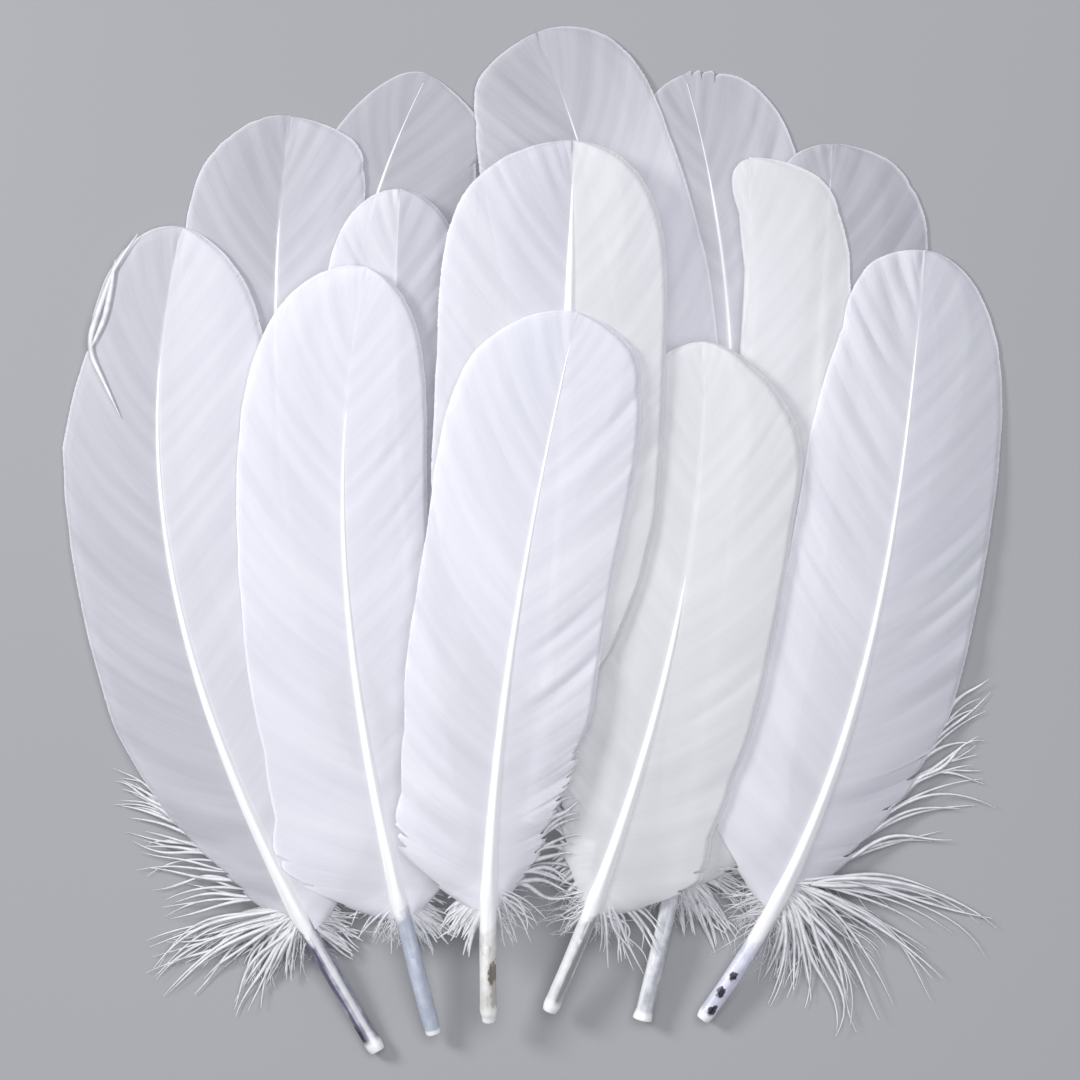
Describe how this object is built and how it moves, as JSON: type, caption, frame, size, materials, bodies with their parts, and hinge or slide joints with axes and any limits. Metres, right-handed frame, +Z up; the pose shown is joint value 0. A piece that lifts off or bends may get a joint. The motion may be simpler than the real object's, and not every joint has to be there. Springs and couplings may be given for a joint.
{
  "type": "quill fan",
  "caption": "Fan of loose white goose quills lying on a surface, each with a hollow barrel, a bowed shaft, two barbed vanes and tufts of down.",
  "frame": {"origin": "on the surface that the quills lie on, under the middle of the whole fan", "axes": "+Y runs from the open barrels towards the feather tips, +X is to the right seen from above, +Z is up from the surface"},
  "size_m": [0.2026, 0.222, 0.02],
  "materials": {
    "shaft": "satin keratin, slightly see-through at the barrel",
    "vane": "soft white web of barbs that lets some light through",
    "down": "loose white down"
  },
  "bodies": {
    "back_2": {"back_2_shaft": "shaft", "back_2_left_vane": "vane", "back_2_right_vane": "vane", "back_2_down": "down"},
    "back_4": {"back_4_shaft": "shaft", "back_4_left_vane": "vane", "back_4_right_vane": "vane", "back_4_down": "down"},
    "back_5": {"back_5_shaft": "shaft", "back_5_left_vane": "vane", "back_5_right_vane": "vane", "back_5_down": "down"},
    "back_3": {"back_3_shaft": "shaft", "back_3_left_vane": "vane", "back_3_right_vane": "vane", "back_3_down": "down"},
    "back_1": {"back_1_shaft": "shaft", "back_1_left_vane": "vane", "back_1_right_vane": "vane", "back_1_down": "down"},
    "middle_1": {"middle_1_shaft": "shaft", "middle_1_left_vane": "vane", "middle_1_right_vane": "vane", "middle_1_down": "down"},
    "front_5": {"front_5_shaft": "shaft", "front_5_left_vane": "vane", "front_5_right_vane": "vane", "front_5_down": "down"},
    "front_6": {"front_6_shaft": "shaft", "front_6_left_vane": "vane", "front_6_right_vane": "vane", "front_6_down": "down"},
    "front_1": {"front_1_shaft": "shaft", "front_1_left_vane": "vane", "front_1_right_vane": "vane", "front_1_down": "down"},
    "front_4": {"front_4_shaft": "shaft", "front_4_left_vane": "vane", "front_4_right_vane": "vane", "front_4_down": "down"},
    "front_2": {"front_2_shaft": "shaft", "front_2_left_vane": "vane", "front_2_right_vane": "vane", "front_2_down": "down"},
    "middle_2": {"middle_2_shaft": "shaft", "middle_2_left_vane": "vane", "middle_2_right_vane": "vane", "middle_2_down": "down"},
    "front_3": {"front_3_shaft": "shaft", "front_3_left_vane": "vane", "front_3_right_vane": "vane", "front_3_down": "down"}
  },
  "joints": [
    {"name": "back_4_lift", "type": "slide", "parent": "back_2", "child": "back_4", "axis": [0, 0, 1], "range_m": [0, 0.03]},
    {"name": "back_5_lift", "type": "slide", "parent": "back_4", "child": "back_5", "axis": [0, 0, 1], "range_m": [0, 0.03]},
    {"name": "back_3_lift", "type": "slide", "parent": "back_5", "child": "back_3", "axis": [0, 0, 1], "range_m": [0, 0.03]},
    {"name": "back_1_lift", "type": "slide", "parent": "back_3", "child": "back_1", "axis": [0, 0, 1], "range_m": [0, 0.03]},
    {"name": "middle_1_lift", "type": "slide", "parent": "back_1", "child": "middle_1", "axis": [0, 0, 1], "range_m": [0, 0.03]},
    {"name": "front_5_lift", "type": "slide", "parent": "middle_1", "child": "front_5", "axis": [0, 0, 1], "range_m": [0, 0.03]},
    {"name": "front_6_lift", "type": "slide", "parent": "front_5", "child": "front_6", "axis": [0, 0, 1], "range_m": [0, 0.03]},
    {"name": "front_1_lift", "type": "slide", "parent": "front_6", "child": "front_1", "axis": [0, 0, 1], "range_m": [0, 0.03]},
    {"name": "front_4_lift", "type": "slide", "parent": "front_1", "child": "front_4", "axis": [0, 0, 1], "range_m": [0, 0.03]},
    {"name": "front_2_lift", "type": "slide", "parent": "front_4", "child": "front_2", "axis": [0, 0, 1], "range_m": [0, 0.03]},
    {"name": "middle_2_lift", "type": "slide", "parent": "front_2", "child": "middle_2", "axis": [0, 0, 1], "range_m": [0, 0.03]},
    {"name": "front_3_lift", "type": "slide", "parent": "middle_2", "child": "front_3", "axis": [0, 0, 1], "range_m": [0, 0.03]}
  ]
}
